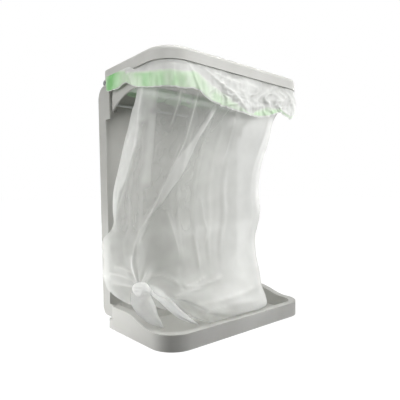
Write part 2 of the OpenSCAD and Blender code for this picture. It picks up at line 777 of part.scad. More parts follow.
// Eight-sided oval section of the strip, lying across its run
function strip_ring(s, k) =
    let (
        n = len(strip_route),
        run = strip_route[min(k + 1, n - 1)][0] - strip_route[max(k - 1, 0)][0],
        ahead = run / norm(run),
        flat = cross(ahead, [-1, -0.6, 0.2]),
        across = flat / norm(flat),
        up = cross(across, ahead)
    )
    [for (i = [0 : 7]) s[0] + across * s[1] / 2 * cos(45 * i) + up * s[2] / 2 * sin(45 * i)];

module tie_strip() {
    color(film_white) loft([for (k = [0 : len(strip_route) - 1]) strip_ring(strip_route[k], k)]);
}

back_panel();
base_tray();
bag_frame();
cover_ring();
hinge_pin_left();
hinge_pin_right();
cross_rod();
tray_screws();
bag_liner();
draw_tape();
tie_strip();
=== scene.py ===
"""Stand for a plastic waste bag, dressed for the eye: moulded plastic, steel and thin film.

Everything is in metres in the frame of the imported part: +Z up, the open front towards -Y,
the origin in the middle of the footprint on the floor. Shapes are worked out in
millimetres and turned to metres when they go into a mesh.
"""

import math

import bmesh
import bpy
import numpy as np
from mathutils import Matrix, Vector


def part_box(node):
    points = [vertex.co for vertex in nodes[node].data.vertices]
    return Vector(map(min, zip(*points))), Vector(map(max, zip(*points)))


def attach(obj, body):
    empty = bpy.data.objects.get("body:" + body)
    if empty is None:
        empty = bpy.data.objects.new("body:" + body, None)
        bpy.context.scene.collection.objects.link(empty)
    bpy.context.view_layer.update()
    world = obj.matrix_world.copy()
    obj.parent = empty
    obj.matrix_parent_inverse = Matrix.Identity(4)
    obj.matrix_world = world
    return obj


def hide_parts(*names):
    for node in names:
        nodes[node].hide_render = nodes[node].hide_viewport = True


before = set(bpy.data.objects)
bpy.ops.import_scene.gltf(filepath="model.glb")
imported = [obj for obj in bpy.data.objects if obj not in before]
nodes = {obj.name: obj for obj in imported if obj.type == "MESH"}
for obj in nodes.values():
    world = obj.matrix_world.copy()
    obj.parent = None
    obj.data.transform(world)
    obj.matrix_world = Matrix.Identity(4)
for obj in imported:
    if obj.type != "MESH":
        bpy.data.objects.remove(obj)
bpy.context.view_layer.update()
scene = bpy.context.scene

MM = 0.001


def box_mm(node):
    """Lowest and highest corner of a node, in millimetres."""
    low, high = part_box(node)
    return np.array(low) / MM, np.array(high) / MM


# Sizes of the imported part: from its boxes, or repeated from its source

HOOP_WALL = 2.5
HOOP_BACK = 68.0
HOOP_CORNER = 42.0
HOOP_BACK_CORNER = 4.0
COVER_SKIRT = 24.0
hoop_low, hoop_high = box_mm("bag_frame")
hoop_x, hoop_front, hoop_top = hoop_high[0], hoop_low[1], hoop_high[2]
cover_edge = box_mm("cover_ring")[1][2] - COVER_SKIRT

# The photograph's camera: frame in pixels, place, turns, and lens and sensor in millimetres

PHOTO = 400
CAMERA_AT = np.array([-553.23, -621.95, 253.19])
CAMERA_YAW = math.radians(40.783)
CAMERA_PITCH = math.radians(-0.546)
CAMERA_ROLL = math.radians(-0.381)
LENS = 36.088
SENSOR = 36.0
FOCAL = LENS / SENSOR * PHOTO


def camera_axes():
    """Right, up and forward of the camera: forward from its yaw and pitch, and the level
    and upright pair across it turned by its roll."""
    ahead = np.array([
        math.sin(CAMERA_YAW) * math.cos(CAMERA_PITCH),
        math.cos(CAMERA_YAW) * math.cos(CAMERA_PITCH),
        math.sin(CAMERA_PITCH),
    ])
    level = np.array([math.cos(CAMERA_YAW), -math.sin(CAMERA_YAW), 0.0])
    above = np.cross(level, ahead)
    right = math.cos(CAMERA_ROLL) * level + math.sin(CAMERA_ROLL) * above
    up = math.cos(CAMERA_ROLL) * above - math.sin(CAMERA_ROLL) * level
    return right, up, ahead


RIGHT, UP, AHEAD = camera_axes()


def seen_at(points):
    """Pixel of the photograph at which each point is seen, and how far ahead it is: what
    lies right and up of the camera, times the focal length, divided by what lies ahead."""
    rel = points - CAMERA_AT
    depth = rel @ AHEAD
    across = PHOTO / 2 + FOCAL * (rel @ RIGHT) / depth
    down = PHOTO / 2 - FOCAL * (rel @ UP) / depth
    return across, down, depth


# Numbers and curves

def smooth(at, places, values):
    """Cubic through values at rising places; each slope is that of the line between its
    two neighbours. Values may have columns."""
    places = np.asarray(places, float)
    values = np.asarray(values, float)
    slopes = np.gradient(values, places, axis=0)
    at = np.clip(at, places[0], places[-1])
    k = np.clip(np.searchsorted(places, at, side="right") - 1, 0, len(places) - 2)
    span = places[k + 1] - places[k]
    t = (at - places[k]) / span
    if values.ndim > 1:
        t, span = t[..., None], span[..., None]
    rise = values[k + 1] - values[k]
    first = slopes[k] * span - rise
    last = rise - slopes[k + 1] * span
    return values[k] + rise * t + t * (1 - t) * ((1 - t) * first + t * last)


def ease(t):
    """0 below 0, 1 above 1, and between them three squares less two cubes."""
    t = np.clip(t, 0.0, 1.0)
    return t * t * (3 - 2 * t)


NOISE_CELLS = 64


def value_noise(a, b, seed):
    """Smooth noise from -1 to 1 over two coordinates: seeded values on the whole numbers,
    eased between them."""
    table = np.random.default_rng(seed).uniform(-1, 1, (NOISE_CELLS, NOISE_CELLS))
    ia, ib = np.floor(a).astype(int), np.floor(b).astype(int)
    ta, tb = ease(a - ia), ease(b - ib)

    def corner(p, q):
        """Seeded value at one corner of each point's cell."""
        return table[(ia + p) % NOISE_CELLS, (ib + q) % NOISE_CELLS]

    low = corner(0, 0) + (corner(1, 0) - corner(0, 0)) * ta
    high = corner(0, 1) + (corner(1, 1) - corner(0, 1)) * ta
    return low + (high - low) * tb


def distance_to_line(across, down, line):
    """Signed distance in the picture from each pixel to a line of points, the least of the
    distances to its legs, positive to the right of the way that the line runs; and the
    share of the line at the nearest place."""
    line = np.asarray(line, float)
    best = np.full(across.shape, np.inf)
    side = np.zeros(across.shape)
    share = np.zeros(across.shape)
    legs = len(line) - 1
    for k in range(legs):
        p, q = line[k], line[k + 1]
        run = q - p
        t = np.clip(((across - p[0]) * run[0] + (down - p[1]) * run[1]) / (run @ run), 0, 1)
        gap_a, gap_d = across - p[0] - t * run[0], down - p[1] - t * run[1]
        gap = np.hypot(gap_a, gap_d)
        near = gap < best
        best = np.where(near, gap, best)
        side = np.where(near, np.sign(gap_d * run[0] - gap_a * run[1]), side)
        share = np.where(near, (k + t) / legs, share)
    return best * side, share


# Meshes

# Least length that a normal is divided by
SHORTEST = 1e-9


def grid_piece(name, points, material, around=False, capped=(), attributes=None):
    """Piece from a grid of points in millimetres, rows by columns. around joins the last
    column to the first, and capped names the rows, first (0) or last (-1), that are closed
    with a fan to their middle. Attributes are one number per point."""
    rows, columns = points.shape[:2]
    index = np.arange(rows * columns).reshape(rows, columns)
    if around:
        index = np.concatenate([index, index[:, :1]], axis=1)
    faces = np.stack(
        [index[:-1, :-1], index[:-1, 1:], index[1:, 1:], index[1:, :-1]], axis=-1
    ).reshape(-1, 4).tolist()
    places = points.reshape(-1, 3)
    marks = {label: values.reshape(-1) for label, values in (attributes or {}).items()}
    for row in capped:
        edge = index[row] if row == 0 else index[row][::-1]
        middle = np.full(len(edge) - 1, len(places))
        faces += np.stack([middle, edge[1:], edge[:-1]], axis=-1).tolist()
        places = np.concatenate([places, places[edge[1:]].mean(axis=0, keepdims=True)])
        marks = {label: np.append(v, v[edge[1:]].mean()) for label, v in marks.items()}
    mesh = bpy.data.meshes.new(name)
    mesh.from_pydata(places * MM, [], faces)
    mesh.polygons.foreach_set("use_smooth", np.ones(len(faces), bool))
    for label, values in marks.items():
        layer = mesh.attributes.new(label, "FLOAT", "POINT")
        layer.data.foreach_set("value", values.astype(np.float32))
    mesh.materials.append(material)
    mesh.update()
    piece = bpy.data.objects.new(name, mesh)
    scene.collection.objects.link(piece)
    return piece


def normals_of(points, around=True):
    """Unit normal at each grid point: the step along the row crossed with the step from row
    to row, divided by its length."""
    if around:
        along = np.roll(points, -1, axis=1) - np.roll(points, 1, axis=1)
    else:
        along = np.gradient(points, axis=1)
    up = np.gradient(points, axis=0)
    out = np.cross(along, up)
    return out / np.maximum(np.linalg.norm(out, axis=-1, keepdims=True), SHORTEST)


# Materials

def linear(code):
    """sRGB hex code to linear red, green, blue and a full alpha, by the standard's straight
    foot and its power of 2.4."""
    parts = [int(code[k:k + 2], 16) / 255 for k in (1, 3, 5)]
    light = [p / 12.92 if p <= 0.04045 else ((p + 0.055) / 1.055) ** 2.4 for p in parts]
    return (*light, 1.0)


def add(tree, kind, inputs=None, **settings):
    """Add a node, set its settings, and set or link its inputs by name or number."""
    node = tree.nodes.new(kind)
    for name, value in settings.items():
        setattr(node, name, value)
    for name, value in (inputs or {}).items():
        if isinstance(value, bpy.types.NodeSocket):
            tree.links.new(value, node.inputs[name])
        else:
            node.inputs[name].default_value = value
    return node


def new_material(name):
    """Empty node material and its output node."""
    material = bpy.data.materials.new(name)
    material.use_nodes = True
    tree = material.node_tree
    tree.nodes.clear()
    return material, tree, tree.nodes.new("ShaderNodeOutputMaterial")


def ramp(tree, factor, stops):
    """Colour ramp through (place, hex code) stops."""
    node = add(tree, "ShaderNodeValToRGB", {"Fac": factor})
    node.color_ramp.elements[0].position = stops[0][0]
    node.color_ramp.elements[0].color = linear(stops[0][1])
    node.color_ramp.elements[1].position = stops[-1][0]
    node.color_ramp.elements[1].color = linear(stops[-1][1])
    for place, code in stops[1:-1]:
        node.color_ramp.elements.new(place).color = linear(code)
    return node.outputs["Color"]


# Grain of the mould and cloud of the pigment
GRAIN_MM, GRAIN_DEPTH_MM = 1.2, 0.15
CLOUD_MM = 60.0
# Streaks of the steel, and their width as a share of their length
STREAK_MM, STREAK_STRETCH = 0.6, 0.02
# Depth of the film's crinkles, and how far they change what it covers
CRINKLE_DEPTH_MM, CRINKLE_HAZE = 2.0, 0.03


def moulded_plastic(name, dark, light):
    """Polypropylene from an etched mould: a soft satin sheen over a fine even grain, with
    a faint cloudiness of the pigment. The real grain is about 0.3 mm and would not show,
    so it is drawn coarser."""
    material, tree, out = new_material(name)
    place = add(tree, "ShaderNodeTexCoord").outputs["Object"]
    cloud = add(tree, "ShaderNodeTexNoise",
                {"Vector": place, "Scale": 1 / (CLOUD_MM * MM), "Detail": 3.0}).outputs["Fac"]
    grain = add(tree, "ShaderNodeTexNoise",
                {"Vector": place, "Scale": 1 / (GRAIN_MM * MM), "Detail": 2.0}).outputs["Fac"]
    sheen = add(tree, "ShaderNodeMapRange", {"Value": cloud, "To Min": 0.36, "To Max": 0.5})
    bump = add(tree, "ShaderNodeBump",
               {"Height": grain, "Strength": 0.12, "Distance": GRAIN_DEPTH_MM * MM})
    shader = add(tree, "ShaderNodeBsdfPrincipled", {
        "Base Color": ramp(tree, cloud, [(0.3, dark), (0.7, light)]),
        "Roughness": sheen.outputs["Result"], "IOR": 1.49, "Normal": bump.outputs["Normal"],
    })
    tree.links.new(shader.outputs["BSDF"], out.inputs["Surface"])
    return material


def drawn_steel(name, code, metallic, smoothest, roughest):
    """Drawn steel under a dull zinc coat, which is only partly metallic: streaks along its
    length, in X, break the reflection. Real streaks are finer and would not show."""
    material, tree, out = new_material(name)
    place = add(tree, "ShaderNodeTexCoord").outputs["Object"]
    stretch = add(tree, "ShaderNodeMapping",
                  {"Vector": place, "Scale": (STREAK_STRETCH, 1.0, 1.0)})
    streaks = add(tree, "ShaderNodeTexNoise", {
        "Vector": stretch.outputs["Vector"], "Scale": 1 / (STREAK_MM * MM), "Detail": 2.0,
    })
    rough = add(tree, "ShaderNodeMapRange", {
        "Value": streaks.outputs["Fac"], "To Min": smoothest, "To Max": roughest,
    })
    shader = add(tree, "ShaderNodeBsdfPrincipled", {
        "Base Color": linear(code), "Metallic": metallic, "Roughness": rough.outputs["Result"],
    })
    tree.links.new(shader.outputs["BSDF"], out.inputs["Surface"])
    return material


def thin_film(name, dye, clear, dense, glow_share, crinkle_mm):
    """Blown polyethylene film: milky and see-through where it is one smooth layer, whiter
    where it is folded or crumpled, with a waxy sheen on fine crinkles. The piece's fold
    attribute says how much film lies together: clear and dense are how much of what is
    behind is covered by one layer and by many, and glow_share is the part of the light that
    comes through each. dye is one hex code, or stops that the tint attribute runs along."""
    material, tree, out = new_material(name)
    place = add(tree, "ShaderNodeTexCoord").outputs["Object"]
    fold = add(tree, "ShaderNodeAttribute", attribute_name="fold").outputs["Fac"]
    if isinstance(dye, str):
        colour = linear(dye)
    else:
        tint = add(tree, "ShaderNodeAttribute", attribute_name="tint").outputs["Fac"]
        colour = ramp(tree, tint, dye)
    crinkle = add(tree, "ShaderNodeTexNoise", {
        "Vector": place, "Scale": 1 / (crinkle_mm * MM), "Detail": 1.0,
    }).outputs["Fac"]
    bump = add(tree, "ShaderNodeBump",
               {"Height": crinkle, "Strength": 0.15, "Distance": CRINKLE_DEPTH_MM * MM})
    haze = add(tree, "ShaderNodeMapRange", {
        "Value": crinkle, "From Min": 0.3, "From Max": 0.7,
        "To Min": -CRINKLE_HAZE, "To Max": CRINKLE_HAZE,
    })
    cover = add(tree, "ShaderNodeMapRange", {"Value": fold, "To Min": clear, "To Max": dense})
    alpha = add(tree, "ShaderNodeMath", {0: cover.outputs["Result"], 1: haze.outputs["Result"]},
                operation="ADD", use_clamp=True)
    skin = add(tree, "ShaderNodeBsdfPrincipled", {
        "Base Color": colour, "Roughness": 0.38, "IOR": 1.5, "Normal": bump.outputs["Normal"],
    })
    glow = add(tree, "ShaderNodeBsdfTranslucent", {"Color": colour})
    through = add(tree, "ShaderNodeMapRange",
                  {"Value": fold, "To Min": glow_share[0], "To Max": glow_share[1]})
    milky = add(tree, "ShaderNodeMixShader", {
        "Fac": through.outputs["Result"], 1: skin.outputs["BSDF"], 2: glow.outputs["BSDF"],
    })
    gap = add(tree, "ShaderNodeBsdfTransparent")
    film = add(tree, "ShaderNodeMixShader", {
        "Fac": alpha.outputs["Value"], 1: gap.outputs["BSDF"], 2: milky.outputs["Shader"],
    })
    tree.links.new(film.outputs["Shader"], out.inputs["Surface"])
    return material


shell_plastic = moulded_plastic("polypropylene_moulded", "#C4C4BF", "#CBCBC7")
# The panel and hoop take a darker copy of the shell's plastic: painted shade, for the shadow
# they sit in behind and under the bag
shaded_panel_plastic = moulded_plastic("polypropylene_moulded_painted_shade", "#B4B4AF", "#BBBBB7")
pin_plastic = moulded_plastic("polypropylene_pin", "#8C8E90", "#959799")
rod_steel = drawn_steel("steel_rod_zinc", "#C9CBCB", metallic=0.3, smoothest=0.37, roughest=0.55)
FILM_WHITE = "#F4F5F2"
CUFF_DYE = [(0.0, FILM_WHITE), (1.0, "#A8CBA5")]
TAPE_DYE = [(0.0, "#F2F8EE"), (0.5, "#DCF5D4"), (1.0, "#98DF90")]
liner_film = thin_film("polyethylene_film", FILM_WHITE, 0.25, 0.95, (0.42, 0.2), 30.0)
cuff_film = thin_film("polyethylene_film_doubled", CUFF_DYE, 0.62, 0.94, (0.3, 0.2), 16.0)
knot_film = thin_film("polyethylene_film_knotted", FILM_WHITE, 0.7, 0.99, (0.12, 0.06), 16.0)
tape_film = thin_film("polyethylene_tape_green", TAPE_DYE, 0.8, 0.98, (0.12, 0.06), 20.0)

# Corners this close are one, faces within this turn are one flat, and edges sharper than
# that angle are rounded in so many steps
WELD_MM = 0.005
FLAT_WITHIN = math.radians(0.5)
SHARP_OVER = math.radians(35)
EDGE_STEPS = 3


def rounded_copy(node, radius, material):
    """Piece with a node's shape whose edges have the small radius of a mould: its loose
    triangles are merged, flat areas become single faces, and edges are rounded."""
    mesh = nodes[node].data.copy()
    shape = bmesh.new()
    shape.from_mesh(mesh)
    bmesh.ops.remove_doubles(shape, verts=shape.verts, dist=WELD_MM * MM)
    bmesh.ops.dissolve_limit(
        shape, angle_limit=FLAT_WITHIN, verts=shape.verts, edges=shape.edges)
    for face in shape.faces:
        face.smooth = True
    shape.to_mesh(mesh)
    shape.free()
    mesh.name = node + "_rounded"
    mesh.materials.clear()
    mesh.materials.append(material)
    piece = bpy.data.objects.new(node + "_rounded", mesh)
    scene.collection.objects.link(piece)
    edge = piece.modifiers.new("edges", "BEVEL")
    edge.width, edge.segments = radius * MM, EDGE_STEPS
    edge.limit_method, edge.angle_limit = "ANGLE", SHARP_OVER
    flat = piece.modifiers.new("flats", "WEIGHTED_NORMAL")
    flat.keep_sharp = False
    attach(piece, "stand")
    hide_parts(node)


rounded_copy("base_tray", 2.4, shell_plastic)
# The panel's rounded copy takes the plastic with painted shade
rounded_copy("back_panel", 0.9, shaded_panel_plastic)

# The hoop takes the plastic with painted shade as well
for name, finish in (
    ("bag_frame", shaded_panel_plastic), ("cover_ring", shell_plastic), ("cross_rod", rod_steel),
    ("hinge_pin_left", pin_plastic), ("hinge_pin_right", pin_plastic),
    ("tray_screws", pin_plastic),
):
    nodes[name].data.materials.clear()
    nodes[name].data.materials.append(finish)


# Bag: rings seen from above

# Where each stretch of the way round starts, as a share of it: left side, front left corner,
# front, front right corner, right side, back right corner, back, back left corner, and 1
STRETCHES = np.cumsum([0, 0.115, 0.075, 0.25, 0.075, 0.115, 0.06, 0.25, 0.06])
BAG_COLUMNS = 520
# Columns stand closer on the sides that the photograph shows: column, share of the way round
COLUMN_SHARE = np.array([(0, 0), (370, 0.5), (460, 0.94), (520, 1.0)])


def ring(u, sizes):
    """Rounded oblong seen from above, one per row of sizes: left, how far the left side
    leans in towards the front, right, front, back and the radii of the front left, front
    right, back right and back left corners. u goes once round from the back of the left
    side by the front: four sides and four arcs."""
    left, lean, right, front, back, fl, fr, br, bl = np.moveaxis(sizes[..., None, :], -1, 0)
    k = np.clip(np.searchsorted(STRETCHES, u, side="right") - 1, 0, 7)
    t = (u - STRETCHES[k]) / (STRETCHES[k + 1] - STRETCHES[k])
    sides = {
        0: (left, back - bl, left + lean, front + fl),
        2: (left + lean + fl, front, right - fr, front),
        4: (right, front + fr, right, back - br),
        6: (right - br, back, left + bl, back),
    }
    corners = {
        1: (left + lean + fl, front + fl, fl, 180),
        3: (right - fr, front + fr, fr, 270),
        5: (right - br, back - br, br, 0),
        7: (left + bl, back - bl, bl, 90),
    }
    x = np.zeros(np.broadcast_shapes(left.shape, u.shape))
    y = np.zeros_like(x)
    for stretch, (x1, y1, x2, y2) in sides.items():
        x = np.where(k == stretch, x1 + (x2 - x1) * t, x)
        y = np.where(k == stretch, y1 + (y2 - y1) * t, y)
    for stretch, (cx, cy, r, start) in corners.items():
        turn = np.radians(start + 90 * t)
        x = np.where(k == stretch, cx + r * np.cos(turn), x)
        y = np.where(k == stretch, cy + r * np.sin(turn), y)
    return x, y


LEAST_CORNER = 1.0


def hoop_sizes(by):
    """Sizes of the ring that follows the hoop at an offset from its outer face: sides and
    corner radii all grow by it."""
    back_r = max(HOOP_BACK_CORNER + by, LEAST_CORNER)
    return np.array([
        -hoop_x - by, 0.0, hoop_x + by, hoop_front - by, HOOP_BACK + by,
        HOOP_CORNER + by, HOOP_CORNER + by, back_r, back_r,
    ])


# Gap between film and hoop, and the offset of the film inside the hoop
FILM_GAP = 0.6
INSIDE = -HOOP_WALL - FILM_GAP
# Rows of the hanging body from its underside up to the hoop: height, left, lean of the left
# side, right, front, back, and the corners' radii from the front left round to the back left
BODY_ROWS = np.array([
    [7, -60, 0, 40, -45, 10, 20, 20, 20, 20],
    [7, -90, 0, 60, -67, 32, 28, 28, 28, 28],
    [10, -108, 0, 78, -88, 46, 30, 30, 30, 30],
    [28, -122, 0, 88, -94, 52, 32, 34, 32, 30],
    [33, -130, 0, 91, -104, 58, 34, 36, 34, 26],
    [50, -166, 8, 91, -103, 71, 36, 40, 36, 20],
    [70, -186, 18, 87, -98, 79, 38, 42, 38, 12],
    [92, -195, 23, 90, -91, 80, 40, 42, 40, 9],
    [136, -196, 22, 92, -78, 80, 42, 45, 45, 8],
    [176, -193, 17, 100, -70, 81, 44, 45, 45, 8],
    [188, -181, 5, 107, -68, 86, 45, 45, 45, 18],
    [200, -177, 1, 114, -66, 90, 45, 45, 45, 27],
    [226, -177, 0, 119, -65, 92, 45, 45, 45, 28],
    [264, -176, 0, 114, -65, 90, 45, 45, 45, 28],
    [300, -170, 0, 114, -68, 85, 45, 45, 45, 29],
    [336, -167, 0, 120, -73, 78, 45, 45, 45, 38],
    [380, -166, 0, 133, -83, 65, 45, 48, 45, 52],
    [410, -167, 0, 139, -90, 58, 45, 50, 42, 62],
    [430, -170, 0, 147, -97, 57, 42, 48, 36, 84],
    [452, -174, 0, 166, -101, 57, 42, 45, 20, 98],
    [474, -175, 0, 175, -102, 64, 40, 40, 6, 66],
])
TOP_ROW = np.array([[hoop_top + FILM_GAP, *hoop_sizes(INSIDE)]])
BODY_GRID_ROWS = 170
LEAST_STEP = 4.0


def body_surface():
    """Smooth hanging body and its share of the way round by column: the rows' sizes carried
    on cubics, at even steps of the way up the front."""
    rows = np.concatenate([BODY_ROWS, TOP_ROW])
    step = np.hypot(np.diff(rows[:, 0]), np.diff(rows[:, 4]))
    way = np.concatenate([[0], np.cumsum(np.maximum(step, LEAST_STEP))])
    sizes = smooth(np.linspace(0, way[-1], BODY_GRID_ROWS), way, rows)
    u = np.interp(np.arange(BAG_COLUMNS) + 0.5, COLUMN_SHARE[:, 0], COLUMN_SHARE[:, 1])
    x, y = ring(u, sizes[:, 1:])
    z = np.broadcast_to(sizes[:, :1], x.shape)
    return np.stack([x, y, z], axis=-1), u


# Folds that show on the front of the body, as lines of pixels of the photograph, from the
# top or the left. Each has a height in millimetres, a half width in pixels and a whiteness.
BODY_FOLDS = [
    (1.5, 1.2, 0.25, [(143, 90), (141, 112), (140, 134), (131, 165), (121, 203), (117, 226)]),
    (2.2, 1.1, 0.35, [(181, 88), (179, 98), (177, 105), (174, 115), (172, 122), (168, 130)]),
    (2.2, 0.9, 0.60, [
        (199, 88), (196, 100), (193, 110), (190, 120), (187, 130), (184, 140), (181, 148),
        (174, 163), (170, 172), (163, 188), (156, 204), (148, 219),
    ]),
    (1.5, 1.3, 0.45, [(220, 102), (214, 112), (208, 121), (202, 131), (195, 142)]),
    (3.0, 1.8, 0.28, [(156, 206), (148, 220), (141, 230), (135, 244), (131, 263), (135, 279)]),
    (2.0, 1.2, 0.25, [(150, 220), (144, 232), (138, 246)]),
    (2.0, 2.0, 0.22, [(236, 110), (233, 125), (225, 153), (219, 170)]),
    (2.0, 3.0, 0.20, [(165, 209), (172, 228), (177, 246), (180, 264)]),
    (2.0, 3.0, 0.20, [(200, 196), (203, 218), (206, 230), (203, 250)]),
    (2.0, 3.0, 0.20, [(192, 231), (196, 252), (200, 273)]),
    (1.6, 1.4, 0.30, [(113, 266), (122, 266), (131, 268)]),
    (1.6, 1.4, 0.30, [(108, 273), (118, 274), (129, 277)]),
    (1.6, 1.6, 0.30, [(110, 283), (120, 284), (131, 286)]),
    (1.5, 2.5, 0.55, [(132, 252), (133, 266), (134, 283)]),
    (1.5, 1.0, 0.30, [(149, 268), (145, 274), (140, 281)]),
    (3.0, 2.2, 0.35, [(147, 284), (155, 272), (165, 274), (176, 281), (183, 287)]),
    (3.0, 2.0, 0.40, [(183, 287), (195, 283), (208, 274)]),
    (3.5, 2.5, 0.45, [(183, 288), (198, 286), (214, 280), (224, 275)]),
    (2.5, 2.0, 0.30, [(175, 298), (186, 292), (208, 287)]),
    (1.5, 3.5, 0.25, [(192, 305), (222, 300), (246, 292), (258, 286)]),
    (1.5, 3.5, 0.30, [(197, 316), (217, 308), (238, 304), (264, 299)]),
]
# Film that lies double between two such lines, from the top: height, whiteness, how soft its
# left and right edges are in pixels, the left line and the right line
BODY_BANDS = [
    (1.0, 0.62, 2.0, 1.0,
     [(130, 82), (128, 98), (124, 115), (120, 130), (116, 150), (110, 175), (106, 200),
      (106, 232)],
     [(144, 82), (142, 98), (140, 112), (139, 130), (137, 145), (134, 155), (130, 166),
      (126, 180), (121, 192), (118, 210), (116, 222), (112, 234)]),
    (1.4, 0.48, 1.2, 0.8,
     [(214, 104), (206, 120), (199, 130), (191, 142), (183, 150), (176, 160), (171, 171),
      (166, 182), (161, 193), (155, 205), (149, 216), (141, 228)],
     [(219, 104), (209, 121), (204, 130), (200, 137), (196, 145), (193, 152), (190, 158),
      (186, 166), (181, 174), (176, 183), (170, 191), (164, 200), (158, 207), (152, 215),
      (145, 226)]),
    (0.5, 0.22, 2.0, 4.0,
     [(142, 84), (141, 94), (140, 104), (139, 114), (138, 124)],
     [(158, 84), (157, 94), (155, 104), (150, 114), (144, 124)]),
    (0.8, 0.22, 3.0, 1.0,
     [(150, 110), (147, 135), (146, 152), (144, 170), (141, 190)],
     [(157, 108), (155, 135), (154, 150), (152, 165), (151, 180), (148, 194)]),
]

# Where the film is drawn to, the middle of the knot on it, and the draw's reach and strength
KNOT_AT = np.array([-180.0, -25.0, 94.0])
KNOT_MID = np.array([-184.0, -40.5, 94.5])
KNOT_REACH, KNOT_DRAW = 42.0, 0.7
GATHERS, GATHER_HEIGHT = 11, 3.0
# Rise of the lower left corner, of the film between the tails, and the height that it ends at
CORNER_LIFT, TAILS_LIFT, LIFT_BELOW = 42.0, 18.0, 110.0
# Pleats round the hanging body, their height, and that of its slower waves
PLEATS, PLEAT_HEIGHT, WAVE_HEIGHT = 20, 3.0, 2.5
CRUMPLE_HEIGHT = 2.0


def corner_lift(points):
    """How far the lower left is drawn up: the rise eases in from the middle to the left,
    less at the back and under the bag, with a mound between the tails that falls off as a
    power of e, and it fades out with the height."""
    x, y, z = np.moveaxis(points, -1, 0)
    forward = 0.15 + 0.85 * ease((25 - y) / 60)
    under = 0.65 * ease((-20 - x) / 60) * ease((x + 150) / 40)
    drawn = forward * ease((-15 - x) / 140) + (1 - forward) * under
    mound = np.exp(-(((x + 138) / 45) ** 2 + ((y + 70) / 40) ** 2))
    return (CORNER_LIFT * drawn + TAILS_LIFT * mound) * ease((LIFT_BELOW - z) / LIFT_BELOW)


def shown_folds(points, out):
    """Rise and whiteness of the folds and bands that the photograph shows, on film that
    faces its camera. A fold is a crest whose height falls off with the distance from its
    line as a decaying power of e, and a band is a low step between two lines."""
    across, down, depth = seen_at(points)
    facing = np.einsum("ijk,ijk->ij", out, CAMERA_AT - points) / depth
    seen = ease(facing * 5 + 0.5)
    rise = np.zeros(depth.shape)
    fold = np.zeros(depth.shape)
    for height, width, white, line in BODY_FOLDS:
        away, share = distance_to_line(across, down, line)
        ends = ease(share / 0.1) * ease((1 - share) / 0.25)
        crest = np.exp(-np.abs(away) / width) * ends * seen
        rise += height * crest
        fold += white * crest
    for height, white, soft_left, soft_right, left_line, right_line in BODY_BANDS:
        from_left, share = distance_to_line(across, down, left_line)
        from_right, _ = distance_to_line(across, down, right_line)
        right_of = ease(0.5 - from_left / (2 * soft_left))
        left_of = ease(0.5 + from_right / (2 * soft_right))
        ends = ease(share / 0.06) * ease((1 - share) / 0.15)
        band = right_of * left_of * (ends * seen)
        rise += height * band
        fold += white * band
    return rise, fold


def shaped_body(points, u):
    """Body with its lower left drawn up, folded, pleated and gathered to the knot; and how
    much film lies together at each point. Pleats are the third power of a raised cosine
    round the bag, and gathers are a cosine round the knot that fades with the distance."""
    lift = corner_lift(points)
    x, y, z = np.moveaxis(points, -1, 0)
    points = points + np.stack([0 * x, 0 * x, lift], axis=-1)
    out = normals_of(points)
    rise, fold = shown_folds(points, out)

    # Film on the panel's left flange lies close to it and double
    by_flange = ease((y - 45) / 25) * ease((-150 - x) / 20)
    hang = ease((430 - z) / 80) * ease((z - 90) / 90) * (1 - by_flange)
    u = np.broadcast_to(u, x.shape)
    warp = u * PLEATS + 0.9 * value_noise(u * 9, z / 240, 3)
    pleat = (0.5 + 0.5 * np.cos(2 * np.pi * warp)) ** 3
    pleat = pleat * (0.6 + 0.4 * value_noise(u * 14, z / 200, 5))
    rise += hang * (PLEAT_HEIGHT * pleat + WAVE_HEIGHT * value_noise(u * 12, z / 200, 7))
    fold += 0.1 * hang * pleat + 0.06 * ease((230 - z) / 60)

    low = ease((130 - z) / 110)
    crumple = value_noise((x + y) / 42 + z / 90, (z - 0.3 * x) / 30, 11)
    rise += low * CRUMPLE_HEIGHT * crumple
    fold += low * (0.14 + 0.12 * crumple)
    # The film is denser from the middle of the front, round the right side, to the back
    onset = 0.22 + 0.06 * ease((z - 320) / 90)
    fold += 0.6 * ease((u - onset) / 0.16) * ease((0.84 - u) / 0.12)
    fold += 0.3 * by_flange
    points = points + out * (rise * (1 - 0.8 * by_flange))[..., None]

    gap = np.linalg.norm(points - KNOT_AT, axis=-1)
    draw = np.exp(-((gap / KNOT_REACH) ** 2))
    points = points + (KNOT_AT - points) * (KNOT_DRAW * draw)[..., None]
    turn = np.arctan2(points[..., 2] - KNOT_AT[2], points[..., 1] - KNOT_AT[1])
    gather = np.cos(GATHERS * turn) * np.exp(-gap / 38) * (1 - np.exp(-gap / 10))
    points = points + out * (GATHER_HEIGHT * gather)[..., None]
    fold += 0.45 * np.exp(-gap / 30) + 0.2 * np.clip(gather, 0, 1)
    return points, np.clip(fold, 0, 1)


body, body_fold = shaped_body(*body_surface())
bag_body = grid_piece("bag_liner_body", body, liner_film, around=True, capped=[0],
                      attributes={"fold": body_fold})
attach(bag_body, "stand")
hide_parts("bag_liner")


# Bag: cuff over the hoop

# The cuff's lower edge where the photograph shows it, in pixels from the left
HEM_LINE = np.array([
    (104, 90), (110, 92), (115, 91), (120, 89), (124, 85), (128, 83), (134, 86), (140, 87.5),
    (150, 87), (160, 86.5), (170, 86), (178, 87.5), (185, 88.5), (192, 88), (198, 90),
    (205, 97), (212, 102), (220, 105), (230, 109), (240, 112.5), (250, 116), (258, 117.5),
    (268, 117), (273, 115), (279, 113), (284, 116), (290, 120), (294, 118),
])
# Width of the green tape above that edge, in millimetres, by pixel from the left
TAPE_WIDTH = np.array([
    (104, 24), (118, 24), (124, 14), (130, 10), (139, 25), (188, 27), (199, 27), (206, 26),
    (222, 22), (240, 8), (247, 2), (252, 1), (256, 11), (266, 17), (274, 10), (281, 5), (294, 5),
])
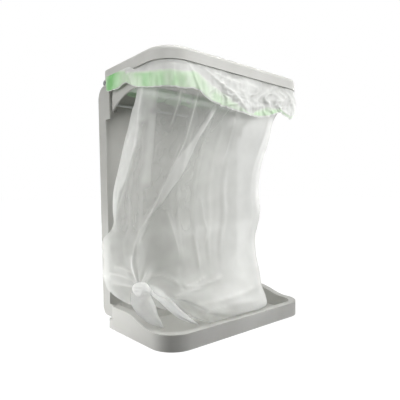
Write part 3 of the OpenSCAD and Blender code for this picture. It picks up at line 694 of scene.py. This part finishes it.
# How much of the tape's dye shows, by pixel from the left
TAPE_TINT = np.array([
    (104, 0.5), (108, 0.6), (112, 0.95), (115, 0.95), (119, 0.65), (124, 0.5), (132, 0.4),
    (145, 0.65), (152, 0.6), (165, 0.55), (180, 0.4), (192, 0.5), (200, 0.2), (210, 0.25),
    (222, 0.35), (245, 0.2), (256, 0.4), (270, 0.4), (276, 0.35), (294, 0.3),
])
# Folds of the cuff: height in millimetres, half width in pixels, whiteness and line of pixels
CUFF_FOLDS = [
    (3.0, 2.5, 0.3, [(201, 66), (216, 80), (233, 93), (245, 109)]),
    (2.5, 4.0, 0.4, [(246, 77), (247, 96), (251, 116)]),
    (3.0, 6.0, 0.3, [(262, 100), (283, 102), (294, 99)]),
    (3.0, 2.0, 0.3, [(262, 104), (263, 112), (266, 117)]),
    (3.0, 2.0, 0.2, [(276, 104), (280, 113)]),
    (2.5, 2.5, 0.3, [(139, 66), (140, 76), (140, 87)]),
    (1.5, 1.8, 0.2, [(150, 64), (151, 76), (152, 87)]),
    (1.5, 1.8, 0.2, [(161, 62), (161, 74), (162, 86)]),
    (2.0, 2.0, 0.2, [(174, 61), (174, 74), (176, 87)]),
    (3.0, 2.0, 0.3, [(126, 70), (131, 78), (134, 86)]),
    (3.0, 2.5, 0.2, [(113, 74), (115, 84), (114, 91)]),
    (1.5, 1.5, 0.2, [(212, 72), (226, 78), (240, 84)]),
]
# The big fold at the left of the front is a step: its film stands proud on the right of it
BIG_FOLD = [(188, 60), (193, 74), (200, 92)]
BIG_FOLD_HEIGHT = 2.2
# At the back left the film comes out under the cover and puffs up outside its skirt: share
# of the way down, distance from the hoop, and rise above the straight way down
PUFF = np.array([
    (0, 1.6, 0), (0.06, 4, -0.5), (0.1, 7, 1), (0.18, 8.5, 7), (0.28, 9.2, 11), (0.4, 9.5, 10),
    (0.6, 9.5, 6), (1, 8.5, 0),
])
# Way of the film over the hoop's rim: offset from its outer face, and height above its top
RIM_WAY = np.array([(INSIDE, FILM_GAP), (-1.6, 1.7), (0.2, 1.7), (1.3, 0.4)])
RIM_ROWS = 13
# Height of the cuff's lower edge on the right side, at the hinges and between them
SIDE_HEM = 450.0
BACK_HEM = hoop_top - 7.0
MID_HEM = 453.0
HEM_RIPPLE = 5.0
# Offset of the film from the hoop's outer face under the cover, and of its hem
CUFF_CLOSE, HEM_OFFSET = 1.6, 6.0
# Heights in millimetres: the belly, the lip that springs out below the cover, slow and quick
# waves, large and small crinkles
BELLY, LIP = 5.5, 3.2
SLOW_WAVE, QUICK_WAVE = 2.6, 1.3
CRINKLE, SMALL_CRINKLE = 3.6, 1.5
# Two heights whose pixels give the height that is seen at another pixel
SIGHT_LOW, SIGHT_RISE = 400.0, 60.0
FLAP_LENGTH, FLAP_FADE = 15.0, 0.025


def flap(u):
    """How far the loose film at the back end of the left side stands back from the hoop: a
    length that falls off along the side as a power of e."""
    return FLAP_LENGTH * np.exp(-u / FLAP_FADE)


def hem_heights(u):
    """Height of the cuff's lower edge: where the photograph shows it, the height that is
    seen at the edge's pixel; further round, level on the right side, and behind it is short
    at the hinges and hangs lower between them."""
    x, y = ring(u, hoop_sizes(HEM_OFFSET)[None])
    low = np.stack([x[0], y[0] + flap(u), np.full(u.shape, SIGHT_LOW)], axis=-1)
    high = low + [0, 0, SIGHT_RISE]
    across, down_low, _ = seen_at(low)
    _, down_high, _ = seen_at(high)
    wanted = np.interp(across, HEM_LINE[:, 0], HEM_LINE[:, 1])
    shown = SIGHT_LOW + SIGHT_RISE * (wanted - down_low) / (down_high - down_low)
    front_end, side_end = STRETCHES[3] + 0.03, STRETCHES[5]
    height = shown + (SIDE_HEM - shown) * ease((u - front_end) / 0.05)
    behind = np.maximum(ease((u - side_end) / 0.012), ease(1 - u / 0.004))
    between = ease((u - STRETCHES[6] - 0.01) / 0.015) * ease((STRETCHES[7] - 0.01 - u) / 0.015)
    middle = MID_HEM + HEM_RIPPLE * value_noise(u * 60, 0 * u, 51)
    back = BACK_HEM + (middle - BACK_HEM) * between
    return height + (back - height) * behind, across


def cuff_wrinkles(across, down, u, d, free):
    """Rise and whiteness of the cuff's crinkles and folds, by pixel. Crinkles are ridges
    where noise crosses zero, right of the big fold; folds fall off from their lines as a
    decaying power of e, and the big one does so slowly on its right and at once on its
    left."""
    shown = free * ease((STRETCHES[3] + 0.05 - u) / 0.02)
    sway = value_noise(across / 14, down / 9, 43)
    ridge = 1 - np.abs(value_noise(across / 7 + 0.8 * sway, down / 9 + 0.6 * sway, 41))
    small = 1 - np.abs(value_noise(across / 3.6 + sway, down / 4.6 - sway, 49))
    crinkled = free * ease((across - 203) / 20) * ease(d * 4)
    rise = crinkled * (CRINKLE * (ridge - 0.55) + SMALL_CRINKLE * (small - 0.55))
    fold = crinkled * 0.3 * ease((ridge - 0.6) / 0.4)
    for height, width, white, line in CUFF_FOLDS:
        away, share = distance_to_line(across, down, line)
        crest = np.exp(-np.abs(away) / width) * ease(share / 0.15) * shown
        rise += height * crest
        fold += white * crest
    away, share = distance_to_line(across, down, BIG_FOLD)
    over = np.where(away < 0, np.exp(away / 4), np.exp(-away / 1.0)) * shown
    rise += BIG_FOLD_HEIGHT * over * ease(share / 0.5 + 0.2)
    fold += 0.5 * np.exp(-np.abs(away) / 2.0) * shown
    return rise, fold


def cuff_points(u, d):
    """Free part of the cuff: u round the hoop, d from the cover's lower edge at 0 to the
    hem at 1. The film stands off the hoop by the larger of a sine's belly and a lip, by
    waves, and by the puff at the back left; crinkles and folds are added to that."""
    hem, _ = hem_heights(u)
    top = np.maximum(cover_edge, hem + 1)
    x0, y0 = (c[0] for c in ring(u, hoop_sizes(0.0)[None]))
    x1, y1 = (c[0] for c in ring(u, hoop_sizes(1.0)[None]))
    out = np.stack([x1 - x0, y1 - y0, 0 * x0], axis=-1)
    length = top - hem
    z = top - d * length
    free = ease((length - 4) / 20)
    belly = BELLY * np.sin(np.pi * np.clip(d, 0, 1) ** 0.7 * 0.75)
    wave = SLOW_WAVE * value_noise(u * 70, d * 1.5 + 3, 21)
    wave = wave + QUICK_WAVE * value_noise(u * 150, d * 3 + 1, 23)
    touch = ease(0.7 + 1.2 * value_noise(u * 60, 0 * u, 45))
    lip = LIP * touch * ease(d * length / 1.2)
    stand = CUFF_CLOSE + free * (np.maximum(belly, lip) + ease(d * 1.6) * wave)
    puffed = free * ease((0.095 - u) / 0.03)
    puff_stand, puff_rise = np.moveaxis(smooth(d + 0 * u, PUFF[:, 0], PUFF[:, 1:]), -1, 0)
    stand = stand + puffed * (puff_stand + 0.4 * wave * ease((d - 0.2) / 0.3) - stand)
    z = z + puffed * puff_rise
    base = np.stack([x0 + 0 * z, y0 + free * flap(u) + 0 * z, z], axis=-1)
    base = base + out * stand[..., None]
    across, down, _ = seen_at(base)
    rise, fold = cuff_wrinkles(across, down, u, d, free)
    return base + out * rise[..., None], fold


CUFF_COLUMNS = 640
CUFF_ROWS = 56
CUFF_FOLD = 0.5
# The stretch of the way round on which the tape shows as a piece
TAPE_START, TAPE_END = 0.0045, STRETCHES[3] + 0.045
cuff_u = (np.arange(CUFF_COLUMNS) + 0.5) / CUFF_COLUMNS
cuff_free, cuff_fold = cuff_points(cuff_u, np.linspace(0, 1, CUFF_ROWS)[:, None])
rim_places = np.arange(float(len(RIM_WAY)))
over_rim = smooth(np.linspace(0, rim_places[-1], RIM_ROWS + 1)[:-1], rim_places, RIM_WAY)
rim_points = np.stack([
    np.stack([*(c[0] for c in ring(cuff_u, hoop_sizes(offset)[None])),
              np.full(CUFF_COLUMNS, hoop_top + height)], axis=-1)
    for offset, height in over_rim
])
on_rim = np.zeros(rim_points.shape[:2])
# Past the end of the tape piece, the tape's green shows through the hem
cuff_green = ease((cuff_u - TAPE_END) / 0.02) * np.ones((CUFF_ROWS, 1))
# Rows run from the hem up, so that the faces point outwards
cuff, cuff_white, cuff_green = (np.concatenate(parts)[::-1] for parts in (
    (rim_points, cuff_free), (on_rim, cuff_fold), (on_rim, cuff_green)))
bag_cuff = grid_piece("bag_liner_cuff", cuff, cuff_film, around=True,
                      attributes={"fold": np.clip(CUFF_FOLD + cuff_white, 0, 1),
                                  "tint": cuff_green})
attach(bag_cuff, "stand")


# Green draw tape in the cuff's hem

TAPE_COLUMNS = 520
TAPE_ROWS = 22
TAPE_LIFT = 0.7
# As shares of the cuff's height, the gap below the tape and the least gap above it; and the
# least height, in millimetres, that its width is a share of
TAPE_INSET, TAPE_HIGHEST, LEAST_CUFF = 0.04, 0.02, 5.0
TAPE_MOTTLE = 0.2
tape_u = np.linspace(TAPE_START, TAPE_END, TAPE_COLUMNS)
tape_up = np.linspace(0, 1, TAPE_ROWS)[:, None]
tape_hem, tape_across = hem_heights(tape_u)
tape_width = np.interp(tape_across, TAPE_WIDTH[:, 0], TAPE_WIDTH[:, 1])
tape_share = tape_width / np.maximum(cover_edge - tape_hem, LEAST_CUFF)
tape_d = 1 - TAPE_INSET - tape_share * tape_up
tape_points, tape_fold = cuff_points(tape_u, np.clip(tape_d, TAPE_HIGHEST, 1))
tape_tint = np.interp(tape_across, TAPE_TINT[:, 0], TAPE_TINT[:, 1])
tape_tint = tape_tint + TAPE_MOTTLE * value_noise(tape_u * 90, 0.5 + 2 * tape_d, 29)
# The dye fades towards the upper edge, over more of the width right of the big fold
tape_soft = 0.25 + 0.4 * ease((tape_across - 195) / 15)
tape_tint *= ease((1.02 - tape_up) / tape_soft)
tape_points = tape_points + TAPE_LIFT * normals_of(tape_points, around=False)
draw_tape = grid_piece("draw_tape_band", tape_points, tape_film,
                       attributes={"fold": tape_fold, "tint": np.clip(tape_tint, 0, 1)})
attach(draw_tape, "stand")
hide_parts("draw_tape")


# Knot and tails

def along(route, count):
    """Evenly spaced places on a smooth route through given points, and its direction."""
    route = np.asarray(route, float)
    way = np.concatenate([[0], np.cumsum(np.linalg.norm(np.diff(route, axis=0), axis=1))])
    places = smooth(np.linspace(0, way[-1], count), way, route)
    run = np.gradient(places, axis=0)
    return places, run / np.linalg.norm(run, axis=1, keepdims=True)


TAIL_ROWS, TAIL_COLUMNS = 60, 26
TAIL_FACING = np.array([-0.5, -0.66, 0.56])
TAIL_BOW = 2.0


def strip(route, widths, wrinkle, seed):
    """Flat tail of film: a line across that faces the front left is carried along the
    route; it bows as a parabola, wrinkles along its length and narrows as widths say."""
    places, run = along(route, TAIL_ROWS)
    across = np.cross(run, TAIL_FACING)
    across /= np.linalg.norm(across, axis=1, keepdims=True)
    face = np.cross(across, run)
    s = np.linspace(-1, 1, TAIL_COLUMNS)[None, :]
    t = np.linspace(0, 1, TAIL_ROWS)[:, None]
    width = np.interp(t, np.linspace(0, 1, len(widths)), widths) / 2
    crease = value_noise(s * 3 + 5, t * 2.5, seed)
    bow = TAIL_BOW * (1 - s ** 2) + wrinkle * crease
    points = (places[:, None] + across[:, None] * (width * s)[..., None]
              + face[:, None] * bow[..., None])
    return points, np.clip(0.8 + 0.2 * crease, 0, 1)


TAIL_DOWN = [
    (-184, -35, 91), (-182, -36, 75), (-173, -40, 58), (-164, -44, 43), (-156, -48, 34),
    (-149, -52, 25),
]
TAIL_OUT = [
    (-174, -45, 96), (-168, -56, 92), (-161, -67, 83), (-152, -78, 70), (-142, -87, 57),
    (-129, -95, 46), (-112, -104, 35),
]
for name, route, widths, wrinkle, seed in (
    ("tie_tail_down", TAIL_DOWN, (30, 36, 34, 27, 16, 3), 0.8, 31),
    ("tie_tail_out", TAIL_OUT, (15, 18, 17, 16, 14, 9, 1), 1.0, 37),
):
    tail_points, tail_white = strip(route, widths, wrinkle, seed)
    tail = grid_piece(name, tail_points, knot_film, attributes={"fold": tail_white})
    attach(tail, "stand")


KNOT_ROWS, KNOT_COLUMNS = 70, 120
# Half length, radius, depth of the pleats, height of the band and ripples on it, flatness
KNOT_HALF, KNOT_RADIUS, KNOT_PLEAT = 17.0, 11.5, 0.6
KNOT_BAND, KNOT_RIPPLE, KNOT_FLAT = 1.8, 0.3, 0.7
KNOT_WHITE = 0.9
# Way that the knot's flat side faces, and the cosine and sine of its slant
KNOT_FACING = np.array([-0.72, -0.66, 0.2])
SLANT_COS, SLANT_SIN = 0.97, 0.24


def knot_points():
    """Tight knot of film: a ball drawn out to both sides, with pleats along it and a thick
    slanting band round its middle. Pleats and ripples are cosines round it, and the band
    falls off from its middle as a power of e."""
    s = np.linspace(-0.995, 0.995, KNOT_ROWS)[:, None]
    phi = np.linspace(0, 2 * np.pi, KNOT_COLUMNS, endpoint=False)[None, :]
    ball = np.sqrt(1 - s ** 2)
    band = np.exp(-(((s - 0.3 * np.cos(phi - 0.9)) / 0.24) ** 2))
    uneven = value_noise(2.5 * np.cos(phi) + 8, 2.5 * np.sin(phi) + 3 * s + 8, 47)
    pleat = np.cos(11 * phi + 3 * s) + 0.8 * uneven
    radius = ball * (KNOT_RADIUS + KNOT_PLEAT * pleat * (1 - band))
    radius = radius + ball * band * (KNOT_BAND + KNOT_RIPPLE * np.cos(14 * s + 2 * phi))
    right = np.cross([0, 0, 1.0], KNOT_FACING)
    right /= np.linalg.norm(right)
    up = np.cross(KNOT_FACING, right)
    lengthwise = SLANT_COS * right - SLANT_SIN * up
    aside = SLANT_SIN * right + SLANT_COS * up
    return (KNOT_MID + (KNOT_HALF * s + 0 * phi)[..., None] * lengthwise
            + (radius * np.cos(phi))[..., None] * aside
            + (KNOT_FLAT * radius * np.sin(phi))[..., None] * KNOT_FACING)


knot_grid = knot_points()
knot = grid_piece("tie_knot", knot_grid, knot_film, around=True, capped=[0, -1],
                  attributes={"fold": np.full(knot_grid.shape[:2], KNOT_WHITE)})
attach(knot, "stand")
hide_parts("tie_strip")


# Stage: floor, light and camera

WHITE = (1, 1, 1, 1)
FLOOR_HALF = 30.0
FLOOR_Z = -0.0005
FLOOR_GLOW, FLOOR_EVEN = 1.09, 0.92
SKY_FAINT = 0.02
floor_mesh = bpy.data.meshes.new("floor")
floor_mesh.from_pydata(
    [(a * FLOOR_HALF, b * FLOOR_HALF, FLOOR_Z) for a, b in ((-1, -1), (1, -1), (1, 1), (-1, 1))],
    [], [(0, 1, 2, 3)])
floor = bpy.data.objects.new("floor", floor_mesh)
scene.collection.objects.link(floor)
# White paper that the camera sees lit nearly evenly, and that gives back a softer bounce
floor_paint, floor_tree, floor_out = new_material("paper_sweep_white")
floor_paper = add(floor_tree, "ShaderNodeBsdfDiffuse", {"Color": linear("#FAFAFA")})
floor_glow = add(floor_tree, "ShaderNodeEmission", {"Color": WHITE, "Strength": FLOOR_GLOW})
floor_seen = add(floor_tree, "ShaderNodeMixShader", {
    "Fac": FLOOR_EVEN, 1: floor_paper.outputs["BSDF"], 2: floor_glow.outputs["Emission"],
})
floor_bounce = add(floor_tree, "ShaderNodeBsdfDiffuse", {"Color": linear("#6A6A6A")})
floor_path = add(floor_tree, "ShaderNodeLightPath")
floor_shader = add(floor_tree, "ShaderNodeMixShader", {
    "Fac": floor_path.outputs["Is Camera Ray"],
    1: floor_bounce.outputs["BSDF"], 2: floor_seen.outputs["Shader"],
})
floor_tree.links.new(floor_shader.outputs["Shader"], floor_out.inputs["Surface"])
floor_mesh.materials.append(floor_paint)


def stand_at(thing, at, right, up, back):
    """Put a light or camera, which looks along its own -Z, at a place with these axes."""
    turn = np.eye(4)
    turn[:3] = np.stack([right, up, back, at], axis=1)
    thing.matrix_world = Matrix(turn.tolist())
    scene.collection.objects.link(thing)


def soft_light(name, at, aim, width, height, watts, spread):
    """Soft box that points at a place; a grid on it narrows its spread, in degrees."""
    lamp = bpy.data.lights.new(name, "AREA")
    lamp.shape = "RECTANGLE"
    lamp.size, lamp.size_y, lamp.energy = width, height, watts
    lamp.spread = math.radians(spread)
    back = np.array(at, float) - np.array(aim, float)
    back /= np.linalg.norm(back)
    side = np.cross([0, 0, 1.0], back)
    side /= np.linalg.norm(side)
    stand_at(bpy.data.objects.new(name, lamp), at, side, np.cross(back, side), back)


# Each light's place, aim, width and height in metres, its watts and its spread
for name, at, aim, width, height, watts, spread in (
    ("light_right", (0.62, -1.0, 0.5), (0, -0.1, 0.4), 0.6, 0.35, 1.85, 80),
    ("light_side", (1.3, -0.15, 0.45), (0.1, -0.05, 0.25), 0.6, 0.6, 6.4, 180),
    ("light_left", (-1.15, 0.45, 0.45), (-0.18, 0, 0.3), 0.6, 0.6, 6.8, 180),
    ("light_corner", (-0.75, -0.75, 0.5), (-0.15, -0.06, 0.44), 0.35, 0.25, 0.28, 48),
    ("light_low", (-0.45, 0.2, 0.04), (-0.18, 0.04, 0.03), 0.12, 0.05, 0.75, 180),
    ("light_overhead", (0, -0.3, 1.5), (0, -0.1, 0.3), 1.0, 1.0, 13.5, 180),
    ("light_back", (0.1, 1.4, 0.25), (0, 0.11, 0.22), 0.7, 0.5, 0.8, 50),
    ("light_knot", (-0.38, -0.37, 0.15), (-0.17, -0.05, 0.075), 0.06, 0.06, 0.0068, 16),
    ("light_rim", (0, -0.2, 1.3), (-0.02, -0.11, 0.03), 0.3, 0.06, 0.09, 30),
    ("light_tray", (0.55, -1.0, 0.06), (0.03, -0.11, 0.015), 0.3, 0.03, 0.036, 20),
):
    soft_light(name, at, aim, width, height, watts, spread)

# The camera sees a white room, whose own light on the object is faint
world = bpy.data.worlds.new("studio")
world.use_nodes = True
sky_tree = world.node_tree
sky_tree.nodes.clear()
sky_faint = add(sky_tree, "ShaderNodeBackground", {"Color": WHITE, "Strength": SKY_FAINT})
sky_white = add(sky_tree, "ShaderNodeBackground", {"Color": WHITE, "Strength": 1.0})
sky_path = add(sky_tree, "ShaderNodeLightPath")
sky = add(sky_tree, "ShaderNodeMixShader", {
    "Fac": sky_path.outputs["Is Camera Ray"],
    1: sky_faint.outputs["Background"], 2: sky_white.outputs["Background"],
})
add(sky_tree, "ShaderNodeOutputWorld", {"Surface": sky.outputs["Shader"]})
scene.world = world
scene.view_settings.view_transform = "Standard"

camera_data = bpy.data.cameras.new("camera")
camera_data.lens, camera_data.sensor_width = LENS, SENSOR
camera = bpy.data.objects.new("camera", camera_data)
stand_at(camera, CAMERA_AT * MM, RIGHT, UP, -AHEAD)
scene.camera = camera
